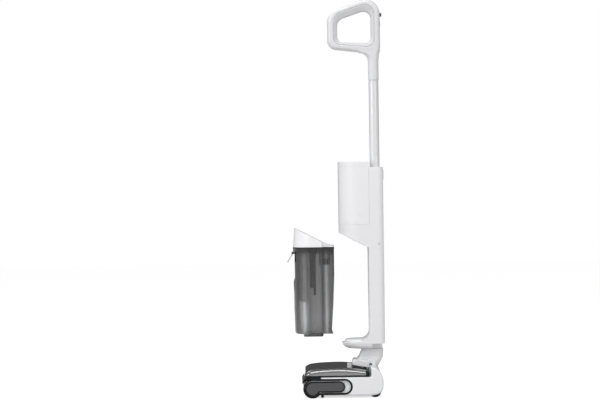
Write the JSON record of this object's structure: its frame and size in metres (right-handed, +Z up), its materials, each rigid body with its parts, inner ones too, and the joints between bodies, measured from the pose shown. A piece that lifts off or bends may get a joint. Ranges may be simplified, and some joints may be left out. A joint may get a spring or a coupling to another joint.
{
  "type": "wet dry floor scrubber",
  "caption": "Cordless upright floor scrubber with a loop handle on a pole, a clean water tank, a dirty water tank drawn out of its bay and a wide roller head.",
  "frame": {"origin": "centre of the foot of the whole machine's bounding box, on the floor", "axes": "+Z up along the upright; front of the machine towards -X, its left side towards -Y"},
  "size_m": [0.274, 0.264, 1.1083],
  "materials": {
    "white_shell": "satin moulded plastic",
    "clean_tank": "milky moulded plastic",
    "light_grey": "fine matte moulding",
    "dark_grey": "fine matte moulding",
    "black": "satin black moulding",
    "rubber": "soft matte rubber",
    "smoke": "smoke tinted clear plastic",
    "steel": "drawn tube, satin",
    "pole": "satin anodised tube",
    "brass": "plated contact",
    "fibre": "short dense pile",
    "board": "solder mask",
    "cell": "shrink sleeve"
  },
  "bodies": {
    "head": {"head_base": "white_shell", "side_trim_left": "black", "side_trim_right": "black", "roller_arm_left": "dark_grey", "roller_arm_right": "dark_grey", "front_lip": "black", "floor_squeegee": "rubber", "roller_scraper": "black", "spray_bar": "black", "roller_motor": "steel", "recline_pin": "steel", "wheel_axle_left": "steel", "wheel_axle_right": "steel"},
    "window": {"brush_window": "smoke", "window_frame": "black"},
    "window_button": {"window_release_button": "white_shell"},
    "roller": {"roller_core": "dark_grey", "roller_sleeve": "fibre"},
    "left_wheel": {"wheel_left": "rubber"},
    "right_wheel": {"wheel_right": "rubber"},
    "neck": {"swivel_neck": "light_grey", "pivot_cap_left": "dark_grey", "pivot_cap_right": "dark_grey"},
    "upright": {"main_housing": "white_shell", "rear_cover": "white_shell", "tray_underside": "light_grey", "swivel_collar": "light_grey", "tank_seal": "rubber", "screw_cap_left": "light_grey", "screw_cap_right": "light_grey", "battery_pack": "cell", "suction_motor": "steel", "water_pump": "black", "control_board": "board", "suction_duct": "dark_grey", "charging_contact_left": "brass", "charging_contact_right": "brass"},
    "impeller": {"suction_impeller": "black"},
    "pole_button": {"pole_release_button": "light_grey"},
    "clean_water": {"clean_tank": "clean_tank", "clean_tank_cap": "white_shell", "clean_tank_valve": "rubber"},
    "plug": {"fill_plug": "light_grey"},
    "handle": {"handle_shell": "white_shell", "handle_grip": "light_grey", "pole_tube": "pole"},
    "power": {"power_button": "dark_grey"},
    "mode": {"mode_button": "light_grey"},
    "dirty_water": {"dirty_tank": "smoke", "latch_pin": "steel"},
    "latch": {"tank_latch": "light_grey"},
    "lid": {"tank_lid": "white_shell", "lid_seal": "rubber", "inlet_pipe": "black", "strainer_basket": "smoke", "float_housing": "black", "tank_filter": "white_shell"},
    "float": {"tank_float": "dark_grey"}
  },
  "joints": [
    {"name": "recline", "type": "hinge", "parent": "head", "child": "neck", "pos_m": [0.09209, 0, 0.0847], "axis": [0, 1, 0], "range_deg": [0, 75]},
    {"name": "swivel", "type": "hinge", "parent": "neck", "child": "upright", "pos_m": [0.09689, 0, 0.129], "axis": [0, 0, 1], "range_deg": [-45, 45]},
    {"name": "roller_spin", "type": "hinge", "parent": "head", "child": "roller", "pos_m": [-0.07101, 0, 0.0256], "axis": [0, 1, 0], "continuous": true},
    {"name": "wheel_left_spin", "type": "hinge", "parent": "head", "child": "left_wheel", "pos_m": [0.10139, -0.104, 0.017], "axis": [0, 1, 0], "continuous": true},
    {"name": "wheel_right_spin", "type": "hinge", "parent": "head", "child": "right_wheel", "pos_m": [0.10139, 0.104, 0.017], "axis": [0, 1, 0], "continuous": true},
    {"name": "window_slide", "type": "slide", "parent": "head", "child": "window", "axis": [-1, 0, 0], "range_m": [0, 0.06]},
    {"name": "window_button_press", "type": "slide", "parent": "window", "child": "window_button", "axis": [0, 0, -1], "range_m": [0, 0.002], "stiffness_N_per_m": 300},
    {"name": "impeller_spin", "type": "hinge", "parent": "upright", "child": "impeller", "pos_m": [0.10289, 0, 0.432], "axis": [0, 0, 1], "continuous": true},
    {"name": "pole_button_press", "type": "slide", "parent": "upright", "child": "pole_button", "axis": [-1, 0, 0], "range_m": [0, 0.002], "stiffness_N_per_m": 300},
    {"name": "clean_tank_lift", "type": "slide", "parent": "upright", "child": "clean_water", "axis": [0, 0, 1], "range_m": [0, 0.08]},
    {"name": "fill_plug_pull", "type": "slide", "parent": "clean_water", "child": "plug", "axis": [0, 0, 1], "range_m": [0, 0.012]},
    {"name": "handle_pull", "type": "slide", "parent": "upright", "child": "handle", "axis": [0, 0, 1], "range_m": [0, 0.07]},
    {"name": "power_press", "type": "slide", "parent": "handle", "child": "power", "axis": [-1, 0, 0], "range_m": [0, 0.002], "stiffness_N_per_m": 300},
    {"name": "mode_press", "type": "slide", "parent": "handle", "child": "mode", "axis": [-1, 0, 0], "range_m": [0, 0.002], "stiffness_N_per_m": 300},
    {"name": "dirty_tank_draw", "type": "slide", "parent": "upright", "child": "dirty_water", "axis": [-0.9922, 0, 0.1246], "range_m": [-0.12497, 0]},
    {"name": "latch_swing", "type": "hinge", "parent": "dirty_water", "child": "latch", "pos_m": [-0.12121, 0, 0.39818], "axis": [0, 1, 0], "range_deg": [-28, 20]},
    {"name": "lid_lift", "type": "slide", "parent": "dirty_water", "child": "lid", "axis": [0, 0, 1], "range_m": [0, 0.06]},
    {"name": "float_rise", "type": "slide", "parent": "lid", "child": "float", "axis": [0, 0, 1], "range_m": [0, 0.012]}
  ]
}
